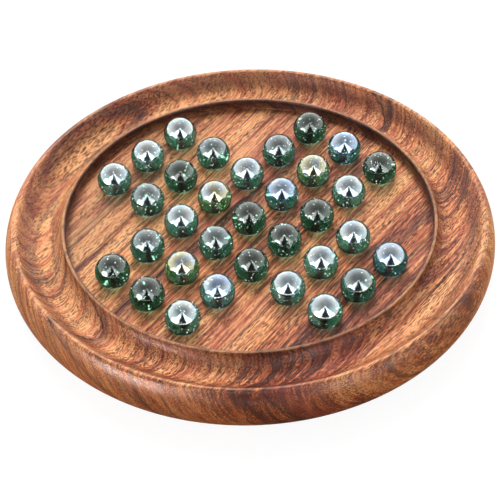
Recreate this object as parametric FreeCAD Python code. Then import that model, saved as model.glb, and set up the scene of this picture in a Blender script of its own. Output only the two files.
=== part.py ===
"""Round marble solitaire board: one turned wooden board with 33 cups, and 33 loose glass marbles.

Units are millimetres, +Z is up, and the origin is the centre of the board's underside. The cups
form the English cross of seven rows and seven files, with the files along X and the rows along Y.
A file is lettered a to g and a row is numbered 1 to 7, so the middle marble is marble_d4.

The board is one revolved profile. From the centre outwards it has the sunk playing field, a narrow
upright lip, the channel where captured marbles are kept, the crest of the rim and the bulged edge.
"""

import FreeCAD
import Part
import math
import os
from dataclasses import dataclass

# Marbles and the cups that they sit in
MARBLE_DIAMETER = 16.0
MARBLE_SINK = 3.5  # how far a marble's lowest point lies below the playing field
SEAT_GAP = 0.1  # air under a marble that rests in its cup
CUP_CLEARANCE = 0.4  # by how much a cup's radius is over its marble's
CUP_EDGE_BREAK = 0.35  # depth of the small bevel round each cup, and what it adds to the mouth's radius
CUP_PITCH = 22.3  # from one cup's centre to the next
CROSS_REACH = 3  # cups from the middle cup to the end of an arm
ARM_HALF_WIDTH = 1  # cups on each side of an arm's middle line

# Heights on the board
BOARD_THICKNESS = 25.4  # underside to the crest of the rim
FIELD_SINK = 5.4  # playing field below the crest
LIP_SINK = 0.2  # top of the lip below the crest
CHANNEL_DEPTH = 6.6  # bottom of the channel below the crest
WIDEST_HEIGHT = 13.4  # height above the underside at which the board is widest

# Widths on the board
FIELD_MARGIN = 7.7  # from the outermost cup's edge to the lip
LIP_WIDTH = 1.8
CHANNEL_SPAN = 21.8  # from the lip's outer edge to the crest
RIM_WIDTH = 5.2  # from the crest to the widest point

# Roundings
CHANNEL_CLEARANCE = 0.5  # by how much the channel's inner bend is over a marble's radius
CREST_RADIUS = 2.2
LIP_INNER_ROUND = 0.9  # the lip's edge over the playing field
LIP_OUTER_ROUND = 0.4  # the lip's edge over the channel
FIELD_CORNER = 0.5  # cove where the playing field meets the lip

UP = FreeCAD.Vector(0, 0, 1)


@dataclass(frozen=True)
class Cup:
    """One cup and its marble: the place on the board, and the name from its file and row."""

    x: float
    y: float
    name: str


def cup_name(file, row):
    """The file's letter and the row's number, counted from the left and from the near side."""
    return f"{chr(ord('a') + file + CROSS_REACH)}{row + CROSS_REACH + 1}"


def cross_of_cups():
    """The cups of the English cross, row by row."""
    span = range(-CROSS_REACH, CROSS_REACH + 1)
    return [
        Cup(file * CUP_PITCH, row * CUP_PITCH, cup_name(file, row))
        for row in span
        for file in span
        if abs(row) <= ARM_HALF_WIDTH or abs(file) <= ARM_HALF_WIDTH
    ]


def cup_radius():
    """Radius of the ball that cuts a cup."""
    return MARBLE_DIAMETER / 2 + CUP_CLEARANCE


def cup_depth():
    """Depth of a cup below the playing field."""
    return MARBLE_SINK + SEAT_GAP


def cup_mouth_radius():
    """Radius of a cup at the playing field, before its edge is bevelled."""
    return math.sqrt(cup_radius() ** 2 - (cup_radius() - cup_depth()) ** 2)


def field_height():
    """Height of the playing field."""
    return BOARD_THICKNESS - FIELD_SINK


def field_radius():
    """Radius of the playing field: the furthest cup of the cross, its mouth, and the margin."""
    furthest = math.hypot(CROSS_REACH, ARM_HALF_WIDTH) * CUP_PITCH
    return furthest + cup_mouth_radius() + CUP_EDGE_BREAK + FIELD_MARGIN


def marble_centre_height():
    """Height of a resting marble's centre."""
    return field_height() - MARBLE_SINK + MARBLE_DIAMETER / 2


@dataclass(frozen=True)
class Bend:
    """A round stretch of the board's profile: its centre and radius, in radius and height."""

    r: float
    z: float
    radius: float

    def at(self, degrees):
        """The point at an angle, counted from outwards (0) to up (90)."""
        turn = math.radians(degrees)
        return point(self.r + self.radius * math.cos(turn), self.z + self.radius * math.sin(turn))

    def towards(self, other):
        """The angle, in degrees, from this bend's centre to another's."""
        return math.degrees(math.atan2(other.z - self.z, other.r - self.r))

    def arc(self, start, end):
        """The edge from one angle to another, the short way round."""
        return Part.Arc(self.at(start), self.at((start + end) / 2), self.at(end)).toShape()


def point(r, z):
    """A point of the profile."""
    return FreeCAD.Vector(r, 0, z)


def board_profile():
    """The closed outline of half the board's section, as a list of edges.

    Every bend touches its neighbours without a corner, so the widths and heights above settle all
    the centres. Only the two large bends' radii come from solving for that touch.
    """
    lip_top = BOARD_THICKNESS - LIP_SINK
    lip_inner = field_radius()
    lip_outer = lip_inner + LIP_WIDTH
    crest_r = lip_outer + CHANNEL_SPAN
    widest_r = crest_r + RIM_WIDTH
    channel_floor = BOARD_THICKNESS - CHANNEL_DEPTH

    # The channel's inner bend meets the top of the lip at the lip's outer edge.
    bend_radius = MARBLE_DIAMETER / 2 + CHANNEL_CLEARANCE
    above_lip = channel_floor + bend_radius - lip_top
    floor_r = lip_outer + math.sqrt(bend_radius**2 - above_lip**2)
    channel_inner = Bend(floor_r, channel_floor + bend_radius, bend_radius)

    # The crest is a bead that the channel's outer bend touches from outside.
    crest = Bend(crest_r, BOARD_THICKNESS - CREST_RADIUS, CREST_RADIUS)
    run = crest.r - floor_r
    rise = crest.z - channel_floor
    outer_radius = (run**2 + rise**2 - CREST_RADIUS**2) / (2 * (rise + CREST_RADIUS))
    channel_outer = Bend(floor_r, channel_floor + outer_radius, outer_radius)

    # The upper edge is a large bend that holds the crest's bead inside it and is upright where widest.
    climb = crest.z - WIDEST_HEIGHT
    edge_radius = (RIM_WIDTH**2 + climb**2 - CREST_RADIUS**2) / (2 * (RIM_WIDTH - CREST_RADIUS))
    upper_edge = Bend(widest_r - edge_radius, WIDEST_HEIGHT, edge_radius)

    # The lower edge is a quarter circle, upright where the board is widest and level at the underside.
    lower_edge = Bend(widest_r - WIDEST_HEIGHT, WIDEST_HEIGHT, WIDEST_HEIGHT)

    # The lip's outer rounding touches its top and the channel's inner bend.
    reach = math.sqrt((bend_radius + LIP_OUTER_ROUND) ** 2 - (above_lip + LIP_OUTER_ROUND) ** 2)
    lip_outer_round = Bend(floor_r - reach, lip_top - LIP_OUTER_ROUND, LIP_OUTER_ROUND)
    lip_inner_round = Bend(lip_inner + LIP_INNER_ROUND, lip_top - LIP_INNER_ROUND, LIP_INNER_ROUND)
    field_cove = Bend(lip_inner - FIELD_CORNER, field_height() + FIELD_CORNER, FIELD_CORNER)

    into_channel = lip_outer_round.towards(channel_inner)
    over_crest = crest.towards(channel_outer)
    into_edge = upper_edge.towards(crest)
    return [
        Part.LineSegment(point(0, 0), point(0, field_height())).toShape(),
        Part.LineSegment(point(0, field_height()), field_cove.at(-90)).toShape(),
        field_cove.arc(-90, 0),
        Part.LineSegment(field_cove.at(0), lip_inner_round.at(180)).toShape(),
        lip_inner_round.arc(180, 90),
        Part.LineSegment(lip_inner_round.at(90), lip_outer_round.at(90)).toShape(),
        lip_outer_round.arc(90, into_channel),
        channel_inner.arc(into_channel - 180, -90),
        channel_outer.arc(-90, over_crest - 180),
        crest.arc(over_crest, into_edge),
        upper_edge.arc(into_edge, 0),
        lower_edge.arc(0, -90),
        Part.LineSegment(lower_edge.at(-90), point(0, 0)).toShape(),
    ]


def cup_cutter():
    """The ball that cuts a cup at the middle of the field, with the cone that bevels its edge."""
    centre_height = field_height() - cup_depth() + cup_radius()
    ball = Part.makeSphere(cup_radius(), FreeCAD.Vector(0, 0, centre_height))

    # The cone leaves the ball at the bevel's foot, and goes on as far above the field as below it.
    foot_height = field_height() - CUP_EDGE_BREAK
    foot_radius = math.sqrt(cup_radius() ** 2 - (centre_height - foot_height) ** 2)
    widening = cup_mouth_radius() + CUP_EDGE_BREAK - foot_radius
    foot = FreeCAD.Vector(0, 0, foot_height)
    bevel = Part.makeCone(foot_radius, foot_radius + 2 * widening, 2 * CUP_EDGE_BREAK, foot)
    return ball.fuse(bevel)


def make_board(cups):
    """The turned board with a cup for each marble."""
    outline = Part.Wire(Part.__sortEdges__(board_profile()))
    blank = Part.Face(outline).revolve(FreeCAD.Vector(0, 0, 0), UP, 360)
    cutter = cup_cutter()
    return blank.cut([cutter.translated(FreeCAD.Vector(cup.x, cup.y, 0)) for cup in cups])


def make_marble(cup):
    """A marble at rest in its cup."""
    return Part.makeSphere(MARBLE_DIAMETER / 2, FreeCAD.Vector(cup.x, cup.y, marble_centre_height()))


def export(shape, name):
    """Writes one sub-part's STEP file and prints its volume and box."""
    solids = shape.Solids
    assert len(solids) == 1, f"{name} has {len(solids)} solids"
    assert solids[0].isValid(), f"{name} isn't valid"
    solids[0].exportStep(os.path.join("parts", f"{name}.step"))
    box = solids[0].optimalBoundingBox()
    size = f"{box.XLength:.2f} x {box.YLength:.2f} x {box.ZLength:.2f} mm"
    print(f"{name}: {solids[0].Volume:.1f} mm3, {size}")


def main():
    """Builds every sub-part into parts/."""
    os.makedirs("parts", exist_ok=True)
    cups = cross_of_cups()
    export(make_board(cups), "board")
    for cup in cups:
        export(make_marble(cup), f"marble_{cup.name}")


main()
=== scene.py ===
"""Looks of a round marble solitaire board: one turned rosewood board and 33 loose glass marbles.

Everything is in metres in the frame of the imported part: +Z is up, the origin is the centre of the
board's underside, the files of cups run along X and the rows along Y. The board is turned again
here as one fine mesh round the same section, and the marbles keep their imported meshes.
"""

import logging
import math
import random
from dataclasses import dataclass, field
from enum import Enum, IntEnum
from typing import Any

import bmesh
import bpy
from mathutils import Matrix, Vector


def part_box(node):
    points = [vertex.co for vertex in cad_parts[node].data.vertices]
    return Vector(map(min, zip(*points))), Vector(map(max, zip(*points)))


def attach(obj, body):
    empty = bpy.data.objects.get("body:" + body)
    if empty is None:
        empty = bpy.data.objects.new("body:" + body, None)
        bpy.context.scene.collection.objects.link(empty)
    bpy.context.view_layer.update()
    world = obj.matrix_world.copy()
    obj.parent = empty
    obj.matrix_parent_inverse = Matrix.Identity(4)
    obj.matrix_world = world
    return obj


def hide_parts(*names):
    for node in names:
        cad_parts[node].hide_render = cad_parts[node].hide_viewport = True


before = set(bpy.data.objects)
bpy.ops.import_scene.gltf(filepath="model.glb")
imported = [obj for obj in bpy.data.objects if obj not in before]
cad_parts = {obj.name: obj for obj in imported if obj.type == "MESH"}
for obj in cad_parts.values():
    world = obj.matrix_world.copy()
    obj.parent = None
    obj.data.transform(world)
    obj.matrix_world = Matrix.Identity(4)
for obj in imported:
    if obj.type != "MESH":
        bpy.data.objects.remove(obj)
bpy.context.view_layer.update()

MM = 0.001

Colour = tuple[float, float, float, float]
Point2 = tuple[float, float]
Socket = bpy.types.NodeSocket
Plug = Any  # a socket to link from, or a plain value

log = logging.getLogger("solitaire")


class Blend(Enum):
    """How a colour is laid over another."""

    MIX = "MIX"
    MULTIPLY = "MULTIPLY"
    ADD = "ADD"


class Dress(IntEnum):
    """The number of each of the board's materials."""

    WAXED = 0
    CUP = 1
    UNDERSIDE = 2


class Lustre(Enum):
    """How a marble's skin shines."""

    BRIGHT = "bright"
    BLUE = "blue"
    STRAW = "straw"
    GREY = "grey"
    DARK = "dark"


def srgb(*values: int) -> Colour:
    """The colour with these screen values, each 0 to 255, in linear light with full alpha."""
    shares = [value / 255 for value in values]
    return (*(s / 12.92 if s <= 0.04045 else ((s + 0.055) / 1.055) ** 2.4 for s in shares), 1.0)


def grey(level: float) -> Colour:
    """A grey in linear light."""
    return (level, level, level, 1.0)


def direction(azimuth: float, elevation: float) -> Vector:
    """The direction at an azimuth, counted from +X to +Y, and an elevation, both in degrees."""
    turn, rise = math.radians(azimuth), math.radians(elevation)
    return Vector((math.cos(turn) * math.cos(rise), math.sin(turn) * math.cos(rise), math.sin(rise)))


def marble_nodes() -> list[str]:
    """The names of the marbles' nodes, in the frame's order."""
    return [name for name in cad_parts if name.startswith("marble_")]


def put_in_scene(name: str, data: Any) -> bpy.types.Object:
    """Puts a new object in the scene.

    Args:
        name: The object's name.
        data: Its mesh, lamp or camera.

    Returns:
        The object.
    """
    made = bpy.data.objects.new(name, data)
    bpy.context.scene.collection.objects.link(made)
    return made


class Wiring:
    """A node tree being wired, with short calls for the nodes that this scene uses most."""

    def __init__(self, tree: bpy.types.NodeTree) -> None:
        """Takes the tree to wire, and empties it."""
        self.tree = tree
        tree.nodes.clear()

    def feed(self, socket: Socket, value: Plug) -> None:
        """Links an input to a socket, or sets its plain value.

        Args:
            socket: The input.
            value: An output to link from, or a plain value.
        """
        if isinstance(value, Socket):
            self.tree.links.new(value, socket)
        else:
            socket.default_value = value

    def node(self, kind: str, plugs: dict | None = None, **settings: Any) -> bpy.types.Node:
        """Adds a node.

        Args:
            kind: Blender's name for the type of node.
            plugs: What feeds each input, by the input's name or number.
            settings: The node's own settings.

        Returns:
            The new node.
        """
        made = self.tree.nodes.new(kind)
        for name, value in settings.items():
            setattr(made, name, value)
        for key, value in (plugs or {}).items():
            self.feed(made.inputs[key], value)
        return made

    def math(self, operation: str, *values: Plug, clamp: bool = False) -> Socket:
        """The result of a math node, such as ADD; clamp keeps it between 0 and 1."""
        plugs = dict(enumerate(values))
        return self.node("ShaderNodeMath", plugs, operation=operation, use_clamp=clamp).outputs[0]

    def times(self, first: Plug, second: Plug, clamp: bool = False) -> Socket:
        """One value times another."""
        return self.math("MULTIPLY", first, second, clamp=clamp)

    def times_plus(self, first: Plug, second: Plug, third: Plug, clamp: bool = False) -> Socket:
        """One value times another, plus a third."""
        return self.math("MULTIPLY_ADD", first, second, third, clamp=clamp)

    def minus(self, first: Plug, second: Plug) -> Socket:
        """One value minus another."""
        return self.math("SUBTRACT", first, second)

    def distance(self, first: Plug, second: Plug) -> Socket:
        """How far away a place is, from how far it is in two directions at right angles."""
        return self.math("SQRT", self.times_plus(first, first, self.times(second, second)))

    def step(self, value: Plug, low: Plug, high: Plug, start: Plug = 0.0, end: Plug = 1.0) -> Socket:
        """A smooth step from the start, where the value is low, to the end, where it is high."""
        plugs = {0: value, 1: low, 2: high, 3: start, 4: end}
        return self.node("ShaderNodeMapRange", plugs, interpolation_type="SMOOTHSTEP").outputs[0]

    def noise(self, vector: Plug, scale: Plug, detail: float = 2.0, rough: float = 0.5) -> Socket:
        """A noise from 0 to 1; scale is how many features there are in one unit of the vector."""
        plugs = {"Vector": vector, "Scale": scale, "Detail": detail, "Roughness": rough}
        return self.node("ShaderNodeTexNoise", plugs).outputs[0]

    def sway(self, vector: Plug, gap: float, detail: float = 2.0, rough: float = 0.5) -> Socket:
        """A noise about 0, whose features are as far apart as the gap."""
        return self.minus(self.noise(vector, 1 / gap, detail, rough), 0.5)

    def cells(self, vector: Plug, scale: float, feature: str = "F1") -> Socket:
        """The distance to the nearest point of a cell texture, or to the nearest edge."""
        plugs = {"Vector": vector, "Scale": scale}
        return self.node("ShaderNodeTexVoronoi", plugs, feature=feature).outputs["Distance"]

    def blend(self, factor: Plug, first: Plug, second: Plug, how: Blend = Blend.MIX) -> Socket:
        """Two colours blended; the factor is how much of the second is taken, 0 to 1."""
        plugs = {0: factor, 6: first, 7: second}
        return self.node("ShaderNodeMix", plugs, data_type="RGBA", blend_type=how.value).outputs[2]

    def ramp(self, value: Plug, stops: list[tuple[float, Colour]]) -> Socket:
        """A colour ramp.

        Args:
            value: Where on the ramp the colour is taken.
            stops: The ramp's places and colours, in order.

        Returns:
            The ramp's colour.
        """
        made = self.node("ShaderNodeValToRGB", {0: value})
        elements = made.color_ramp.elements
        while len(elements) < len(stops):
            elements.new(1.0)
        for element, (place, colour) in zip(elements, stops):
            element.position = place
            element.color = colour
        return made.outputs[0]

    def grey(self, level: Socket) -> Socket:
        """A grey whose level changes."""
        return self.node("ShaderNodeCombineColor", {0: level, 1: level, 2: level}).outputs[0]

    def split(self, vector: Plug) -> list[Socket]:
        """The three parts of a vector."""
        return list(self.node("ShaderNodeSeparateXYZ", {0: vector}).outputs)

    def turned(self, vector: Plug, rotation: tuple[float, float, float]) -> Socket:
        """A vector turned about the origin."""
        return self.node("ShaderNodeMapping", {0: vector, "Rotation": rotation}).outputs[0]

    def stretched(self, along: Plug, across: Plug, up: Plug, stretch: float) -> Socket:
        """A vector for a texture that is longer along the fibres than across, by the stretch."""
        plugs = {0: self.math("DIVIDE", along, stretch), 1: across, 2: up}
        return self.node("ShaderNodeCombineXYZ", plugs).outputs[0]

    def millimetres(self) -> Socket:
        """The place on the object, in millimetres."""
        plugs = {0: self.node("ShaderNodeTexCoord").outputs["Object"], "Scale": 1 / MM}
        return self.node("ShaderNodeVectorMath", plugs, operation="SCALE").outputs[0]

    def bump(self, height: Plug, relief: float) -> Socket:
        """The normal over a relief of the given height, in millimetres."""
        plugs = {"Strength": 1.0, "Distance": relief * MM, "Height": height}
        return self.node("ShaderNodeBump", plugs).outputs[0]

    def surface(self, plugs: dict, volume: Plug = None) -> None:
        """Ends a material with a Principled shader.

        Args:
            plugs: What feeds each of the shader's inputs.
            volume: The shader of what the piece is filled with, if it is clear.
        """
        shader = self.node("ShaderNodeBsdfPrincipled", plugs).outputs[0]
        output = self.node("ShaderNodeOutputMaterial", {"Surface": shader})
        if volume is not None:
            self.feed(output.inputs["Volume"], volume)


def new_material(name: str) -> tuple[bpy.types.Material, Wiring]:
    """Makes an empty material.

    Args:
        name: The material's name.

    Returns:
        The material and the wiring of its tree.
    """
    material = bpy.data.materials.new(name)
    material.use_nodes = True
    return material, Wiring(material.node_tree)


class Effect:
    """A node group with named inputs and outputs, built once and placed in many materials."""

    NUMBER = "NodeSocketFloat"
    COLOUR = "NodeSocketColor"

    def __init__(self, name: str, inputs: dict[str, float], outputs: dict[str, str]) -> None:
        """Makes the group and its sockets.

        Args:
            name: The group's name.
            inputs: Each numeric input's name, with its usual value.
            outputs: Each output's name, with its kind of socket.
        """
        self.tree = bpy.data.node_groups.new(name, "ShaderNodeTree")
        sockets = self.tree.interface
        for title, value in inputs.items():
            made = sockets.new_socket(name=title, in_out="INPUT", socket_type=self.NUMBER)
            made.default_value = value
        for title, kind in outputs.items():
            sockets.new_socket(name=title, in_out="OUTPUT", socket_type=kind)
        self.wiring = Wiring(self.tree)
        self.given = self.wiring.node("NodeGroupInput").outputs
        self.result = self.wiring.node("NodeGroupOutput").inputs

    def put_out(self, name: str, value: Plug) -> None:
        """Feeds one of the group's outputs."""
        self.wiring.feed(self.result[name], value)

    def place(self, wiring: Wiring, **values: Plug) -> bpy.types.NodeOutputs:
        """Places the group in a material.

        Args:
            wiring: The material's wiring.
            values: What feeds each input, by its name with _ for a space.

        Returns:
            The placed group's outputs.
        """
        made = wiring.node("ShaderNodeGroup", node_tree=self.tree)
        for name, value in values.items():
            wiring.feed(made.inputs[name.replace("_", " ")], value)
        return made.outputs


@dataclass(frozen=True)
class RosewoodFigure:
    """Colours and scales of the solid rosewood. Lengths are millimetres."""

    grain_angle: float = math.radians(8.5)  # of the fibres, from +X towards +Y
    stretch: float = 18.0  # how much longer a feature is along the fibres than across
    wander: float = 5.0  # how far the fibres stray sideways
    wander_gap: float = 55.0
    fray: float = 1.6  # how ragged the growth layers are along the fibres
    fray_gap: float = 1.8
    lean: float = 0.6  # how far the streaks lean over against the growth layers
    brightness: float = 0.6  # where on the colour ramp the bands, streaks and fibres meet
    band_gap: float = 24.0  # width of the broad light and dark bands
    band_sway: float = 1.7  # how far the bands lead away from there
    streak_gap: float = 2.0
    streak_sway: float = 2.3
    fibre_gap: float = 0.45
    fibre_sway: float = 1.7
    patch_gap: float = 17.0  # width of the red patches
    patch_strength: float = 0.55
    ring_gap: float = 12.0  # usual distance between the dark growth lines
    ring_sway: float = 3.2  # how many lines they stray from an even spacing
    hair_gap: float = 1.0  # about how far apart the fine dark lines are
    part_gap: float = 5.0  # about how far apart the long thin lines between streaks are
    line_strength: float = 0.6  # how dark both of these are
    pore_gap: float = 0.48
    pore_strength: float = 0.85
    pith_across: float = 70.0  # where the tree's middle lay: across the fibres from the board's centre
    pith_depth: float = 130.0  # and below the underside
    dark: Colour = srgb(72, 28, 18)
    brown: Colour = srgb(132, 64, 40)
    base: Colour = srgb(180, 97, 60)
    light: Colour = srgb(208, 131, 86)
    golden: Colour = srgb(234, 170, 114)
    red: Colour = srgb(160, 78, 70)
    ink: Colour = srgb(40, 15, 12)

    def build(self) -> Effect:
        """Builds the effect: the wood's colour, its pores and its grain's height.

        Returns:
            The effect, with inputs Contrast and Pore Depth.
        """
        effect = Effect(
            "rosewood_figure",
            {"Contrast": 1.0, "Pore Depth": 1.0},
            {"Color": Effect.COLOUR, "Pores": Effect.NUMBER, "Height": Effect.NUMBER},
        )
        w = effect.wiring
        along, across, up = w.split(w.turned(w.millimetres(), (0, 0, -self.grain_angle)))
        stray = w.sway(w.stretched(along, across, up, 3.0), self.wander_gap)
        across = w.times_plus(stray, 2 * self.wander, across)

        # The growth layers are rings about the tree's middle, which lay well below the board.
        layer = w.distance(w.minus(across, self.pith_across), w.math("ADD", up, self.pith_depth))
        frayed = w.sway(w.stretched(along, across, up, 14.0), self.fray_gap, 1.0)
        layer = w.times_plus(frayed, self.fray, layer)
        leaning = w.times_plus(across, -self.lean, layer)
        layers = w.stretched(along, layer, w.math("DIVIDE", up, self.stretch), self.stretch)
        slanted = w.stretched(along, leaning, w.math("DIVIDE", up, 6.0), self.stretch)

        streaks = w.noise(slanted, 1 / self.streak_gap, 3.0, 0.65)
        fibres = w.noise(w.stretched(along, across, up, self.stretch), 1 / self.fibre_gap, 2.0, 0.7)
        bands = w.sway(layers, self.band_gap, 2.0, 0.55)
        value = w.times_plus(bands, self.band_sway, self.brightness)
        value = w.times_plus(w.minus(streaks, 0.5), self.streak_sway, value)
        value = w.times_plus(w.minus(fibres, 0.5), self.fibre_sway, value)
        value = w.times_plus(w.minus(value, 0.5), effect.given["Contrast"], 0.5, clamp=True)
        stops = [(0.08, self.dark), (0.30, self.brown), (0.50, self.base), (0.68, self.light)]
        colour = w.ramp(value, [*stops, (0.92, self.golden)])
        patches = w.step(w.noise(layers, 1 / self.patch_gap, 1.0), 0.5, 0.72)
        colour = w.blend(w.times(patches, self.patch_strength), colour, self.red)

        # A growth line is sharp on one side and fades away on the other.
        count = w.math("DIVIDE", layer, self.ring_gap)
        count = w.times_plus(w.noise(layers, 1 / 45.0, 1.0), self.ring_sway, count)
        phase = w.math("FRACT", count)
        onset = w.step(phase, 0.0, 0.012)
        sharp = w.times(onset, w.step(phase, 0.03, 0.075, 1.0, 0.0))
        soft = w.times(onset, w.step(phase, 0.03, 0.4, 1.0, 0.0))
        strength = w.step(w.noise(layers, 1 / 13.0), 0.42, 0.62)
        lines = w.times_plus(soft, 0.5, w.times(sharp, 0.5))
        lines = w.times(lines, w.times_plus(strength, 0.9, 0.1), clamp=True)
        colour = w.blend(lines, colour, self.ink)

        # Fine dark lines run a long way with the fibres, and come and go in patches.
        long = w.stretched(along, across, up, 50.0)
        hairs = w.step(w.noise(long, 1 / self.hair_gap, 1.0), 0.59, 0.63)
        hairs = w.times(hairs, w.step(w.noise(layers, 1 / 9.0), 0.36, 0.56))
        colour = w.blend(w.times(hairs, self.line_strength), colour, self.ink)

        # Thin lines part the streaks: where a slow noise passes its middle value.
        slower = w.stretched(along, leaning, 0.0, 45.0)
        parting = w.math("ABSOLUTE", w.sway(slower, self.part_gap, 1.0))
        parting = w.step(parting, 0.008, 0.03, 1.0, 0.0)
        parting = w.times(parting, w.step(w.noise(slanted, 1 / 12.0, 1.0), 0.4, 0.55))
        colour = w.blend(w.times(parting, self.line_strength), colour, self.ink)

        # Pores are short and deep, and larger where they crowd.
        cells = w.cells(w.stretched(along, across, up, 7.0), 1 / self.pore_gap)
        crowd = w.step(w.noise(slanted, 1 / 4.0), 0.35, 0.65, 0.26, 0.48)
        pores = w.step(cells, w.times(crowd, 0.85), crowd, 1.0, 0.0)
        pores = w.times(pores, effect.given["Pore Depth"])
        colour = w.blend(w.times(pores, self.pore_strength), colour, self.ink)

        height = w.times_plus(fibres, 0.35, w.times(streaks, 0.15))
        effect.put_out("Color", colour)
        effect.put_out("Pores", pores)
        effect.put_out("Height", w.minus(height, pores))
        return effect


def turned_band_effect() -> Effect:
    """Builds the effect that marks a turned band: a mask of the places at one radius.

    Returns:
        The effect, with inputs Radius, Half Width, Lowest, Fade and Break Up. The first four are
        millimetres: the band starts at Lowest and is full at Fade above that. Break Up is how
        ragged the band is, from 0 to 1.
    """
    effect = Effect(
        "turned_band",
        {"Radius": 100.0, "Half Width": 1.0, "Lowest": 0.0, "Fade": 0.2, "Break Up": 0.5},
        {"Mask": Effect.NUMBER},
    )
    w = effect.wiring
    place = w.millimetres()
    x, y, z = w.split(place)
    radius = w.distance(x, y)
    away = w.math("ABSOLUTE", w.minus(radius, effect.given["Radius"]))
    inside = w.step(away, 0.0, effect.given["Half Width"], 1.0, 0.0)
    full = w.math("ADD", effect.given["Lowest"], effect.given["Fade"])
    above = w.step(z, effect.given["Lowest"], full)
    ragged = w.step(w.noise(place, 0.16, 4.0, 0.65), 0.34, 0.6)
    ragged = w.times(w.minus(1.0, ragged), effect.given["Break Up"])
    mask = w.times(inside, above)
    effect.put_out("Mask", w.times(mask, w.minus(1.0, ragged)))
    return effect


def handling_effect() -> Effect:
    """Builds the effect of being handled: soft smudges and faint scratches.

    Returns:
        The effect, with inputs Smudge Size in millimetres and Scratches from 0 to 1, and outputs
        Smudges and Scratches.
    """
    effect = Effect(
        "handling_marks",
        {"Smudge Size": 14.0, "Scratches": 1.0},
        {"Smudges": Effect.NUMBER, "Scratches": Effect.NUMBER},
    )
    w = effect.wiring
    place = w.millimetres()
    scale = w.math("DIVIDE", 1.0, effect.given["Smudge Size"])
    smudges = w.step(w.noise(place, scale, 3.0, 0.6), 0.4, 0.66)
    hairs = w.cells(w.turned(place, (0.3, 0.2, 0.9)), 0.35, "DISTANCE_TO_EDGE")
    hairs = w.step(hairs, 0.0, 0.02, 1.0, 0.0)
    hairs = w.times(hairs, w.step(w.noise(place, 0.4), 0.5, 0.65))
    effect.put_out("Smudges", smudges)
    effect.put_out("Scratches", w.times(hairs, effect.given["Scratches"]))
    return effect


@dataclass(frozen=True)
class Effects:
    """The effects that several materials share, each built once."""

    figure: Effect
    band: Effect
    handling: Effect


@dataclass(frozen=True)
class RosewoodFinish:
    """One finish of the same wood."""

    name: str
    contrast: float
    pore_depth: float
    roughness: float
    darkening: float  # how much the whole face is darkened, 0 to 1
    coat: float  # weight of the wax on top
    relief: float  # height of the grain's bump, in millimetres
    edge_coat: float = 0.0  # more wax where hands have polished the outer edge
    cutter_rings: bool = False  # fine rings that a cutter left about the middle of each cup, which is also darkened towards its middle

    def build(self, effects: Effects, board: "TurnedBoard") -> bpy.types.Material:
        """Builds the material.

        Args:
            effects: The shared effects.
            board: The board, for the radii of its edges and the pitch of its cups.

        Returns:
            The material.
        """
        material, w = new_material(self.name)
        figure = effects.figure.place(w, Contrast=self.contrast, Pore_Depth=self.pore_depth)
        marks = effects.handling.place(w, Smudge_Size=16.0, Scratches=1.0)
        colour, height, coat = figure["Color"], figure["Height"], self.coat
        rough = w.times_plus(figure["Pores"], 0.25, self.roughness)
        rough = w.times_plus(marks["Smudges"], 0.1, rough)
        if self.edge_coat:
            outer_edge = {"Radius": board.widest / MM, "Half_Width": 7.0, "Fade": 1.0}
            polished = effects.band.place(w, Break_Up=0.3, **outer_edge)["Mask"]
            coat = w.times_plus(polished, self.edge_coat, self.coat)
            rough = w.times_plus(polished, -0.08, rough)
        if self.cutter_rings:
            colour, height = self.add_cutter_rings(w, colour, height, board.pitch / MM)
        else:
            # Painted shade in the hollows by the lip and crest, and worn edges that are partly a
            # painted highlight.
            for light_and_wear_band in board.painted_light_and_wear:
                mask = light_and_wear_band.mask(w, effects.band)
                colour = w.blend(mask, colour, light_and_wear_band.colour, light_and_wear_band.blend)
                rough = w.times_plus(mask, light_and_wear_band.gloss, rough)
        if self.darkening:
            colour = w.blend(self.darkening, colour, srgb(120, 84, 70), Blend.MULTIPLY)
        # The wood is dimmer in mirrors, so that the marbles' skins keep to the light of the tent.
        mirrored = w.node("ShaderNodeLightPath").outputs["Is Glossy Ray"]
        colour = w.blend(w.times(mirrored, 0.8), colour, grey(0.0))
        height = w.times_plus(marks["Scratches"], -0.4, height)
        w.surface(
            {
                "Base Color": colour,
                "Roughness": rough,
                "Normal": w.bump(height, self.relief),
                "Specular IOR Level": 0.3,
                "Coat Weight": coat,
                "Coat Roughness": 0.24,
            }
        )
        return material

    def add_cutter_rings(
        self, w: Wiring, colour: Plug, height: Plug, pitch: float
    ) -> tuple[Socket, Socket]:
        """Adds the rings that the cutter left in each cup, and darkens each cup towards its middle.

        Args:
            w: The material's wiring.
            colour: The wood's colour so far.
            height: The bump's height so far.
            pitch: Distance between cups, in millimetres.

        Returns:
            The new colour and the new height.
        """
        x, y, _ = w.split(w.millimetres())
        aside, ahead = (w.math("WRAP", part, pitch / 2, -pitch / 2) for part in (x, y))
        radius = w.distance(aside, ahead)
        rings = w.math("SINE", w.times(radius, 12.0))
        # Darker towards the middle of each cup.
        tone_mark = w.step(radius, 0.0, 7.4, 0.5, 0.0)
        colour = w.blend(tone_mark, colour, srgb(130, 92, 74), Blend.MULTIPLY)
        return colour, w.times_plus(rings, 0.25, height)


@dataclass(frozen=True)
class PaintedLightAndWearBand:
    """A turned band that changes the wood's colour and gloss, for the painted shade in the hollows and
    for the worn edges, which are partly a painted highlight.
    """

    radius: float
    half_width: float
    lowest: float
    fade: float  # height over which it comes to full strength
    break_up: float
    strength: float
    colour: Colour
    blend: Blend
    gloss: float  # what it adds to the roughness

    def mask(self, w: Wiring, band: Effect) -> Socket:
        """How strong the band is over the surface.

        Args:
            w: The material's wiring.
            band: The effect that marks a turned band.

        Returns:
            The band's mask.
        """
        lengths = ("radius", "half_width", "lowest", "fade")
        sizes = {name.title(): getattr(self, name) / MM for name in lengths}
        return w.times(band.place(w, Break_Up=self.break_up, **sizes)["Mask"], self.strength)


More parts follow.
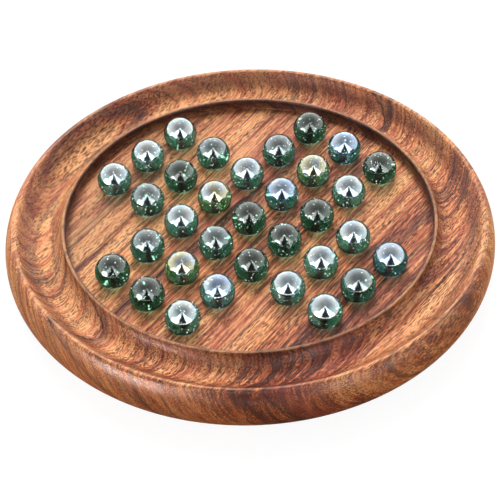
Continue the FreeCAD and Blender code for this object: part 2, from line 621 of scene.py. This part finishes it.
@dataclass(frozen=True)
class Bend:
    """A round stretch of the board's section: its centre and radius, in radius and height."""

    r: float
    z: float
    radius: float

    def at(self, degrees: float) -> Point2:
        """The point at an angle, counted from outwards (0) to up (90)."""
        turn = math.radians(degrees)
        return (self.r + self.radius * math.cos(turn), self.z + self.radius * math.sin(turn))

    def towards(self, other: "Bend") -> float:
        """The angle, in degrees, from this bend's centre to another's."""
        return math.degrees(math.atan2(other.z - self.z, other.r - self.r))

    def arc(self, start: float, end: float, steps: int) -> list[Point2]:
        """The points from one angle to another, both included, with straight steps between them."""
        return [self.at(start + (end - start) * i / steps) for i in range(steps + 1)]


@dataclass
class TurnedBoard:
    """The one-piece board: playing field, lip, channel, crest and bulged edge, with 33 cups."""

    node: str = "board"
    field_sink: float = 5.4 * MM
    lip_sink: float = 0.2 * MM
    lip_width: float = 1.8 * MM
    channel_depth: float = 6.6 * MM
    channel_clearance: float = 0.5 * MM
    widest_height: float = 13.4 * MM
    rim_width: float = 5.2 * MM
    crest_radius: float = 2.2 * MM
    lip_inner_round: float = 0.9 * MM
    lip_outer_round: float = 0.4 * MM
    field_corner: float = 0.5 * MM
    field_margin: float = 7.7 * MM
    cup_clearance: float = 0.4 * MM
    seat_gap: float = 0.1 * MM
    cup_edge_break: float = 0.35 * MM
    flat_collar: float = 0.5 * MM  # flat ring round each cup and inside the cove, for even shading
    turn_steps: int = 360
    cup_steps: int = 60
    cup_rings: int = 16
    cup_edge_rings: int = 3  # how many of a cup's bands, from its edge, have the board's wax
    widest: float = field(init=False)  # greatest radius
    thickness: float = field(init=False)
    marble_radius: float = field(init=False)
    cups: list[Vector] = field(init=False)  # centres of the marbles at rest
    pitch: float = field(init=False)  # from one cup to the next
    mesh: bmesh.types.BMesh = field(default_factory=bmesh.new)  # the board as it is being built

    def __post_init__(self) -> None:
        """Takes the outer sizes and the cups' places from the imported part."""
        low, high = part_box(self.node)
        self.widest = high.x
        self.thickness = high.z
        corners = [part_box(name) for name in marble_nodes()]
        self.cups = [(a + b) / 2 for a, b in corners]
        self.marble_radius = (corners[0][1].x - corners[0][0].x) / 2
        self.pitch = min((a - b).length for a in self.cups for b in self.cups if a is not b)

    @property
    def field_height(self) -> float:
        """Height of the playing field."""
        return self.thickness - self.field_sink

    @property
    def cup_radius(self) -> float:
        """Radius of the ball that a cup is part of."""
        return self.marble_radius + self.cup_clearance

    @property
    def cup_centre_height(self) -> float:
        """Height of the middle of the ball that a cup is part of."""
        return self.cups[0].z - self.marble_radius - self.seat_gap + self.cup_radius

    @property
    def mouth_radius(self) -> float:
        """Radius of a cup at the playing field, before its edge is broken."""
        rise = self.cup_centre_height - self.field_height
        return math.sqrt(self.cup_radius**2 - rise**2)

    @property
    def lip_inner(self) -> float:
        """Radius of the lip's wall over the playing field."""
        furthest = max(math.hypot(c.x, c.y) for c in self.cups)
        return furthest + self.mouth_radius + self.cup_edge_break + self.field_margin

    @property
    def painted_light_and_wear(self) -> list[PaintedLightAndWearBand]:
        """Painted shade in the lip's wall, at its foot, in the channel and under the crest, and
        lighter edges that are worn and partly a painted highlight.
        """
        lip_inner, lip_outer = self.lip_inner, self.lip_inner + self.lip_width
        crest = self.widest - self.rim_width
        wall = self.field_height + MM
        edges = self.thickness - self.lip_sink - 0.8 * MM
        skin = 0.2 * MM
        painted_wall_shade, painted_shade, tone_mark = srgb(66, 26, 20), srgb(120, 74, 62), srgb(236, 186, 140)
        lay, shade_blend = Blend.MIX, Blend.MULTIPLY
        # radius, half width, lowest, fade, break-up, strength, colour, blend, gloss
        return [
            # painted shade on the wall of the lip, darkest at its top, and on the playing field at its
            # foot
            PaintedLightAndWearBand(lip_inner, 1.2 * MM, wall, 3 * MM, 0.1, 0.8, painted_wall_shade, shade_blend, 0.1),
            PaintedLightAndWearBand(lip_inner, 3.4 * MM, 0.0, skin, 0.3, 0.8, painted_shade, shade_blend, 0.05),
            # painted shade in the channel under the lip, and on its outer bend under the crest
            PaintedLightAndWearBand(lip_outer + 2.4 * MM, 3.4 * MM, 0.0, skin, 0.4, 0.25, painted_shade, shade_blend, 0.05),
            PaintedLightAndWearBand(crest - 5.0 * MM, 5.5 * MM, 0.0, skin, 0.3, 0.75, painted_shade, shade_blend, 0.05),
            # lighter edges, worn and partly a painted highlight: inner and outer edge of the lip, and
            # the crest
            PaintedLightAndWearBand(lip_inner + MM, 0.6 * MM, edges, skin, 0.6, 0.35, tone_mark, lay, -0.08),
            PaintedLightAndWearBand(lip_outer - 0.1 * MM, 0.4 * MM, edges, skin, 0.7, 0.35, tone_mark, lay, -0.08),
            PaintedLightAndWearBand(crest - 0.2 * MM, 0.9 * MM, edges, skin, 0.8, 0.35, tone_mark, lay, -0.1),
        ]

    def section(self) -> list[Point2]:
        """The turned section, from the foot of the cove over lip, channel and crest to the underside.

        Returns:
            The points, in radius and height.
        """
        lip_top = self.thickness - self.lip_sink
        lip_outer = self.lip_inner + self.lip_width
        crest_r = self.widest - self.rim_width
        floor = self.thickness - self.channel_depth

        bend_radius = self.marble_radius + self.channel_clearance
        above_lip = floor + bend_radius - lip_top
        floor_r = lip_outer + math.sqrt(bend_radius**2 - above_lip**2)
        channel_inner = Bend(floor_r, floor + bend_radius, bend_radius)

        crest = Bend(crest_r, self.thickness - self.crest_radius, self.crest_radius)
        run, rise = crest.r - floor_r, crest.z - floor
        outer_radius = (run**2 + rise**2 - crest.radius**2) / (2 * (rise + crest.radius))
        channel_outer = Bend(floor_r, floor + outer_radius, outer_radius)

        climb, overhang = crest.z - self.widest_height, self.rim_width - crest.radius
        edge_radius = (self.rim_width**2 + climb**2 - crest.radius**2) / (2 * overhang)
        upper_edge = Bend(self.widest - edge_radius, self.widest_height, edge_radius)
        lower_edge = Bend(self.widest - self.widest_height, self.widest_height, self.widest_height)

        outer_round, inner_round = self.lip_outer_round, self.lip_inner_round
        reach = math.sqrt((bend_radius + outer_round) ** 2 - (above_lip + outer_round) ** 2)
        lip_outer_bend = Bend(floor_r - reach, lip_top - outer_round, outer_round)
        lip_inner_bend = Bend(self.lip_inner + inner_round, lip_top - inner_round, inner_round)
        corner = self.field_corner
        cove = Bend(self.lip_inner - corner, self.field_height + corner, corner)

        into_channel = lip_outer_bend.towards(channel_inner)
        over_crest = crest.towards(channel_outer)
        into_edge = upper_edge.towards(crest)
        stretches = [
            cove.arc(-90, 0, 6),
            lip_inner_bend.arc(180, 90, 8),
            lip_outer_bend.arc(90, into_channel, 6),
            channel_inner.arc(into_channel - 180, -90, 16),
            channel_outer.arc(-90, over_crest - 180, 16),
            crest.arc(over_crest, into_edge, 12),
            upper_edge.arc(into_edge, 0, 14),
            lower_edge.arc(0, -90, 20),
        ]
        points: list[Point2] = []
        for point in (point for stretch in stretches for point in stretch):
            if not points or math.dist(points[-1], point) > 0.01 * MM:
                points.append(point)
        return points

    def cup_section(self) -> list[Point2]:
        """A cup's section from its broken edge inwards, in radius from the cup's axis and height.

        Returns:
            The points, without the one at the bottom of the cup.
        """
        break_depth = self.cup_edge_break
        foot_height = self.field_height - break_depth
        foot_angle = math.asin((foot_height - self.cup_centre_height) / self.cup_radius)
        foot_r = self.cup_radius * math.cos(foot_angle)
        edge_r = self.mouth_radius + break_depth
        edge = [(edge_r, self.field_height)]
        for share in (0.35, 0.7):
            sag = 0.06 * MM * math.sin(math.pi * share)
            r = edge_r + (foot_r - edge_r) * share - sag
            edge.append((r, self.field_height - break_depth * share + sag))
        ball = Bend(0.0, self.cup_centre_height, self.cup_radius)
        return edge + ball.arc(math.degrees(foot_angle), -90, self.cup_rings)[:-1]

    def ring(self, centre: Vector, at: Point2, steps: int) -> list:
        """Adds a level ring of points.

        Args:
            centre: The ring's axis; only its x and y count.
            at: The ring's radius and height.
            steps: How many points the ring has.

        Returns:
            The new points, in order.
        """
        radius, height = at
        turns = [2 * math.pi * i / steps for i in range(steps)]
        level = [(centre.x + radius * math.cos(t), centre.y + radius * math.sin(t)) for t in turns]
        return [self.mesh.verts.new((*place, height)) for place in level]

    def face(self, dress: Dress, *corners: bmesh.types.BMVert) -> None:
        """Adds a smooth face with one of the board's materials."""
        made = self.mesh.faces.new(corners)
        made.material_index, made.smooth = dress, True

    def bridge(self, first: list, second: list, dress: Dress) -> None:
        """Joins two rings with as many points by a band of faces.

        Args:
            first: One ring.
            second: The other ring.
            dress: The band's material.
        """
        for i, point in enumerate(first):
            j = (i + 1) % len(first)
            self.face(dress, point, first[j], second[j], second[i])

    def close(self, ring: list, centre: Vector, height: float, dress: Dress) -> None:
        """Closes a small ring with a fan of faces.

        Args:
            ring: The ring.
            centre: The ring's axis.
            height: Height of the fan's middle.
            dress: The fan's material.
        """
        middle = self.mesh.verts.new((centre.x, centre.y, height))
        for point, after in zip(ring, ring[1:] + ring[:1]):
            self.face(dress, point, after, middle)

    def fill_field(self, rings: list[list]) -> None:
        """Fills the playing field between its outer ring and the rings round the cups.

        Args:
            rings: The outer ring and one ring for each cup.
        """
        pairs = [pair for ring in rings for pair in zip(ring, ring[1:] + ring[:1])]
        edges = [self.mesh.edges.get(pair) for pair in pairs]
        filled = bmesh.ops.triangle_fill(self.mesh, use_beauty=True, edges=edges, normal=(0, 0, 1))
        for item in filled["geom"]:
            if isinstance(item, bmesh.types.BMFace):
                item.smooth = True

    def build(self, effects: Effects) -> None:
        """Builds the board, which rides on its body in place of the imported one.

        Args:
            effects: The shared effects.
        """
        axis = Vector((0, 0, 0))
        section = self.section()
        rings = [self.ring(axis, point, self.turn_steps) for point in section]
        for before, after in zip(rings, rings[1:]):
            self.bridge(before, after, Dress.WAXED)

        # underside: a flat disc inside the lower edge
        under_r, foot = section[-1]
        inner = rings[-1]
        for share in (0.97, 0.75, 0.5, 0.25, 0.08):
            after = self.ring(axis, (under_r * share, foot), self.turn_steps)
            self.bridge(inner, after, Dress.UNDERSIDE)
            inner = after
        self.close(inner, axis, foot, Dress.UNDERSIDE)

        collar = (section[0][0] - self.flat_collar, self.field_height)
        outer = self.ring(axis, collar, self.turn_steps)
        self.bridge(rings[0], outer, Dress.WAXED)
        openings = [outer]
        cup_section = self.cup_section()
        collar = (cup_section[0][0] + self.flat_collar, self.field_height)
        for cup in self.cups:
            before = self.ring(cup, collar, self.cup_steps)
            openings.append(before)
            for number, point in enumerate(cup_section):
                after = self.ring(cup, point, self.cup_steps)
                self.bridge(before, after, Dress.WAXED if number < self.cup_edge_rings else Dress.CUP)
                before = after
            self.close(before, cup, self.cup_centre_height - self.cup_radius, Dress.CUP)
        self.fill_field(openings)
        bmesh.ops.recalc_face_normals(self.mesh, faces=self.mesh.faces)

        data = bpy.data.meshes.new("turned_board")
        self.mesh.to_mesh(data)
        self.mesh.free()
        piece = put_in_scene("turned_board", data)
        for finish in self.finishes():
            data.materials.append(finish.build(effects, self))
        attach(piece, "board")
        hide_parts(self.node)
        log.info("%s: %d faces, %d cups", piece.name, len(data.polygons), len(self.cups))

    def finishes(self) -> list[RosewoodFinish]:
        """The board's finishes, in the order of its materials."""
        return [
            RosewoodFinish("rosewood_waxed", 1.0, 1.0, 0.38, 0.0, 0.06, 0.06, edge_coat=0.25),
            RosewoodFinish("rosewood_cup", 0.8, 0.8, 0.5, 0.5, 0.1, 0.03, cutter_rings=True),
            RosewoodFinish("rosewood_underside", 0.9, 1.0, 0.6, 0.3, 0.0, 0.07),
        ]


@dataclass(frozen=True)
class GlassFinish:
    """One finish of the green glass."""

    lustre: Lustre
    marbles: str  # the cups of the marbles that have it
    shine: float  # share of the light that the lustred skin mirrors
    skin: Colour
    patch: Colour  # colour of the skin's cloudy patches
    absorbed: Colour = (0.2, 0.52, 0.34, 1.0)  # colour that the glass lets through
    depth: float = 155.0  # how strongly it takes out the rest, per metre

    def build(self, effects: Effects) -> bpy.types.Material:
        """Builds the material.

        Args:
            effects: The shared effects.

        Returns:
            The material.
        """
        material, w = new_material(f"green_glass_{self.lustre.value}")
        place = w.millimetres()
        marks = effects.handling.place(w, Smudge_Size=5.0, Scratches=0.6)
        clouds = w.step(w.noise(place, 0.16, 3.0, 0.55), 0.42, 0.62)
        pits = w.step(w.cells(place, 0.9), 0.05, 0.12, 1.0, 0.0)
        rough = w.times_plus(marks["Smudges"], 0.05, 0.015)
        height = w.times_plus(pits, -0.4, w.noise(place, 0.35))
        height = w.times_plus(marks["Scratches"], -0.15, height)
        plugs = {"Color": self.absorbed, "Density": self.depth}
        w.surface(
            {
                "Base Color": w.blend(clouds, self.skin, self.patch),
                "Roughness": w.times_plus(pits, 0.3, rough),
                "Normal": w.bump(height, 0.04),
                "IOR": 1.52,
                "Metallic": self.shine,
                "Transmission Weight": 1.0,
            },
            w.node("ShaderNodeVolumeAbsorption", plugs).outputs[0],
        )
        return material


def seed_material(effects: Effects) -> bpy.types.Material:
    """Builds the skin of the small air bubbles in the glass, which partly mirror the light and glow as
    painted glints.

    Args:
        effects: The shared effects.

    Returns:
        The material.
    """
    material, w = new_material("air_bubbles_painted_glint")
    marks = effects.handling.place(w, Smudge_Size=1.0, Scratches=0.0)
    colour = w.blend(marks["Smudges"], srgb(252, 255, 253), srgb(226, 240, 234))
    w.surface(
        {
            "Base Color": colour,
            "Roughness": w.times_plus(marks["Smudges"], 0.15, 0.1),
            "Metallic": 0.3,
            # Painted glints: the bubbles glow, though they are no lamp.
            "Emission Color": colour,
            "Emission Strength": 4.0,
        }
    )
    return material


@dataclass
class MarbleSet:
    """The 33 glass marbles and the air bubbles in them."""

    slot: str = "green_glass"
    fewest_seeds: int = 40
    most_seeds: int = 84
    smallest_seed: float = 0.1 * MM  # radius
    largest_seed: float = 0.22 * MM
    skin_depth: float = 0.08 * MM  # clear glass between the bubbles and the surface
    seed: int = 33

    def finishes(self) -> list[GlassFinish]:
        """The finishes and the marbles that have each."""
        bright, dark = "e7 d7 c7 e5 f3 c5 e2 d2 c2 a3 c1", "g5 d6 g3 d4 e3 d3 a5 c3 a4"
        blue, straw, dull = "g4 e4 e1 b3", "f4 d5 b4", "e6 f5 c6 b5 c4 d1"
        return [
            GlassFinish(Lustre.BRIGHT, bright, 0.30, srgb(212, 230, 242), srgb(240, 246, 248)),
            GlassFinish(Lustre.BLUE, blue, 0.30, srgb(190, 214, 250), srgb(228, 238, 250)),
            GlassFinish(Lustre.STRAW, straw, 0.30, srgb(238, 230, 190), srgb(222, 236, 248)),
            GlassFinish(Lustre.GREY, dull, 0.16, srgb(200, 218, 226), srgb(222, 232, 234)),
            GlassFinish(Lustre.DARK, dark, 0.05, srgb(196, 216, 208), srgb(216, 228, 222)),
        ]

    def build(self, effects: Effects) -> None:
        """Dresses every marble and fills it with bubbles.

        Args:
            effects: The shared effects.
        """
        draw = random.Random(self.seed)
        bubbles = seed_material(effects)
        for finish in self.finishes():
            material = finish.build(effects)
            for cup in finish.marbles.split():
                self.dress(f"marble_{cup}", material)
        for name in sorted(marble_nodes()):
            self.fill(name, bubbles, draw)

    def dress(self, name: str, material: bpy.types.Material) -> None:
        """Gives a marble its material.

        Args:
            name: The marble's node.
            material: The material.
        """
        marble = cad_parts[name]
        if not marble.material_slots:
            marble.data.materials.append(material)
        for place in marble.material_slots:
            place.material = material
        log.info("%s: %s", name, material.name)

    def fill(self, name: str, material: bpy.types.Material, draw: random.Random) -> None:
        """Fills a marble with small bubbles.

        Args:
            name: The marble's node, which is also its body.
            material: The bubbles' material.
            draw: The source of random numbers.
        """
        low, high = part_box(name)
        middle = (low + high) / 2
        reach = (high.x - low.x) / 2 - self.skin_depth
        spread = self.largest_seed - self.smallest_seed
        mesh = bmesh.new()
        for _ in range(draw.randint(self.fewest_seeds, self.most_seeds)):
            size = self.smallest_seed + spread * draw.random() ** 3
            way = Vector([draw.gauss(0, 1) for _ in range(3)]).normalized()
            away = (reach - size) * draw.random() ** 0.12
            place = Matrix.Translation(middle + way * away)
            bmesh.ops.create_icosphere(mesh, subdivisions=2, radius=size, matrix=place)
        for face in mesh.faces:
            face.smooth = True
        title = name.replace("marble", "seeds")
        data = bpy.data.meshes.new(title)
        mesh.to_mesh(data)
        mesh.free()
        data.materials.append(material)
        piece = put_in_scene(title, data)
        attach(piece, name)


@dataclass(frozen=True)
class LightTent:
    """The white tent round the table, as a world. Angles are degrees."""

    camera_azimuth: float  # the azimuths below count from here, to the camera's right
    zenith: float = 0.75  # brightness of the cloth
    horizon: float = 2.3
    far_side: float = 1.3  # how much brighter the cloth is opposite the camera
    panel_level: float = 6.0
    panel_apex: float = 81.0  # elevation where the two bright panels meet
    panel_reach: float = 64.0  # how far each panel reaches sideways at the horizon
    slot_level: float = 0.1  # the dark slot for the camera
    slot_apex: float = 77.0
    slot_foot: float = 2.0
    slot_half_width: float = 29.0
    fill_above: float = 0.46  # light on dull surfaces: from above, from the horizon and from behind
    fill_horizon: float = 0.16
    fill_behind: float = 1.5
    fold: float = 9.0  # how far the folds in the tent's cloth bend its edges
    box_level: float = 22.0  # the low soft box on the camera's left
    box_azimuth: float = -53.0
    box_elevation: float = 9.0
    box_reach: float = 24.0

    def build(self) -> None:
        """Builds the world: what shining surfaces mirror, what lights dull ones, and plain white."""
        world = bpy.data.worlds.new("light_tent")
        bpy.context.scene.world = world
        world.use_nodes = True
        w = Wiring(world.node_tree)
        way = w.node("ShaderNodeTexCoord").outputs["Generated"]
        turned = w.turned(way, (0, 0, -math.radians(self.camera_azimuth)))
        x, y, z = w.split(turned)
        folds = w.minus(w.noise(way, 7.0, 2.0, 0.6), 0.5)
        elevation = w.times_plus(folds, self.fold, w.math("DEGREES", w.math("ARCSINE", z)))
        aside = w.math("ABSOLUTE", w.math("DEGREES", w.math("ARCTAN2", y, x)))
        sideways = w.math("DEGREES", w.math("ARCSINE", w.math("ABSOLUTE", y)))
        sideways = w.times_plus(folds, 2 * self.fold, sideways)
        front = w.math("GREATER_THAN", x, 0.0)

        def wedge(apex: float, slope: float, edge: float) -> Socket:
            """A mask that is widest at the horizon and ends at the apex, with a soft edge."""
            half = w.times(w.minus(apex, elevation), slope)
            return w.times(w.step(w.minus(half, sideways), edge, edge + 5.0), front)

        level = w.step(elevation, 10.0, 75.0, self.horizon, self.zenith)
        far = w.step(aside, 80.0, 170.0, 1.0, self.far_side)
        tent = w.times(level, w.times_plus(folds, 0.7, far))
        panel = wedge(self.panel_apex, self.panel_reach / self.panel_apex, -1.0)
        lit = w.blend(panel, w.grey(tent), grey(self.panel_level))
        slot = wedge(self.slot_apex, self.slot_half_width / (self.slot_apex - self.slot_foot), -2.0)
        slot = w.times(slot, w.step(elevation, self.slot_foot - 2.0, self.slot_foot + 2.0))
        mirrored = w.blend(slot, lit, grey(self.slot_level))
        towards_box = {0: turned, 1: direction(self.box_azimuth, self.box_elevation)}
        facing = w.node("ShaderNodeVectorMath", towards_box, operation="DOT_PRODUCT").outputs["Value"]
        box = w.step(facing, math.cos(math.radians(self.box_reach)), 1.0)
        mirrored = w.blend(1.0, mirrored, w.grey(w.times(box, self.box_level)), Blend.ADD)

        soft = w.step(elevation, 0.0, 60.0, self.fill_horizon, self.fill_above)
        soft = w.grey(w.times(soft, w.step(aside, 60.0, 160.0, 1.0, self.fill_behind)))
        rays = w.node("ShaderNodeLightPath").outputs
        seen = w.blend(rays["Is Glossy Ray"], soft, mirrored)
        seen = w.blend(rays["Is Camera Ray"], seen, grey(1.0))
        sky = w.node("ShaderNodeBackground", {"Color": seen, "Strength": 1.0}).outputs[0]
        w.node("ShaderNodeOutputWorld", {"Surface": sky})


@dataclass
class Studio:
    """Floor, lights and camera. Angles are degrees."""

    aim: tuple[float, float] = (-12.03 * MM, -11.62 * MM)  # where the camera's axis meets the field
    azimuth: float = -135.43  # from the board to the camera
    elevation: float = 43.34
    distance: float = 959.0 * MM
    roll: float = -2.12
    lens: float = 150.0
    floor_half: float = 3.0  # half the floor's width

    def build(self, board: TurnedBoard) -> None:
        """Builds the floor, the tent, the lamps and the camera.

        Args:
            board: The board, for the height of its playing field.
        """
        self.build_floor()
        LightTent(self.azimuth).build()
        self.build_lamps()
        self.build_camera(board.field_height)
        bpy.context.scene.view_settings.view_transform = "Standard"
        log.info("studio: floor, tent, lamps and camera")

    def build_floor(self) -> None:
        """Lays the plain pale floor."""
        half = self.floor_half
        corners = [(-half, -half, 0), (half, -half, 0), (half, half, 0), (-half, half, 0)]
        data = bpy.data.meshes.new("floor")
        data.from_pydata(corners, [], [(0, 1, 2, 3)])
        material, w = new_material("pale_floor")
        seen = w.node("ShaderNodeLightPath").outputs["Is Camera Ray"]
        w.surface(
            {
                "Base Color": w.blend(seen, srgb(212, 174, 136), srgb(100, 100, 100)),
                "Roughness": 0.9,
                "Specular IOR Level": 0.1,
                "Emission Color": grey(1.0),
                "Emission Strength": w.times(seen, 0.93),
            }
        )
        data.materials.append(material)
        floor = put_in_scene("floor", data)

    def build_lamps(self) -> None:
        """Hangs the soft lamps: one high on the left of the camera, one high behind the board."""
        for name, azimuth, elevation, spread, strength in (
            ("side_lamp", self.azimuth - 75, 48, 30, 0.1),
            ("back_lamp", self.azimuth + 186, 41, 42, 4.1),
        ):
            data = bpy.data.lights.new(name, "SUN")
            data.angle = math.radians(spread)
            data.energy = strength
            lamp = put_in_scene(name, data)
            lamp.location = direction(azimuth, elevation)
            lamp.rotation_euler = lamp.location.to_track_quat("Z", "Y").to_euler()
            lamp.visible_camera = lamp.visible_glossy = False

    def build_camera(self, field_height: float) -> None:
        """Sets up the camera.

        Args:
            field_height: Height of the playing field, where the camera's axis meets it.
        """
        data = bpy.data.cameras.new("camera")
        data.lens = self.lens
        data.dof.use_dof = False
        camera = put_in_scene("camera", data)
        back = direction(self.azimuth, self.elevation)
        right = Vector((0, 0, 1)).cross(back).normalized()
        turn = Matrix((right, back.cross(right), back)).transposed().to_4x4()
        roll = Matrix.Rotation(math.radians(self.roll), 4, "Z")
        place = Vector((*self.aim, field_height)) + back * self.distance
        camera.matrix_world = Matrix.Translation(place) @ turn @ roll
        bpy.context.scene.camera = camera


def main() -> None:
    """Builds the board, the marbles and the studio, in that order."""
    logging.basicConfig(level=logging.INFO, format="%(name)s: %(message)s")
    effects = Effects(RosewoodFigure().build(), turned_band_effect(), handling_effect())
    board = TurnedBoard()
    board.build(effects)
    MarbleSet().build(effects)
    Studio().build(board)


if __name__ == "__main__":
    main()
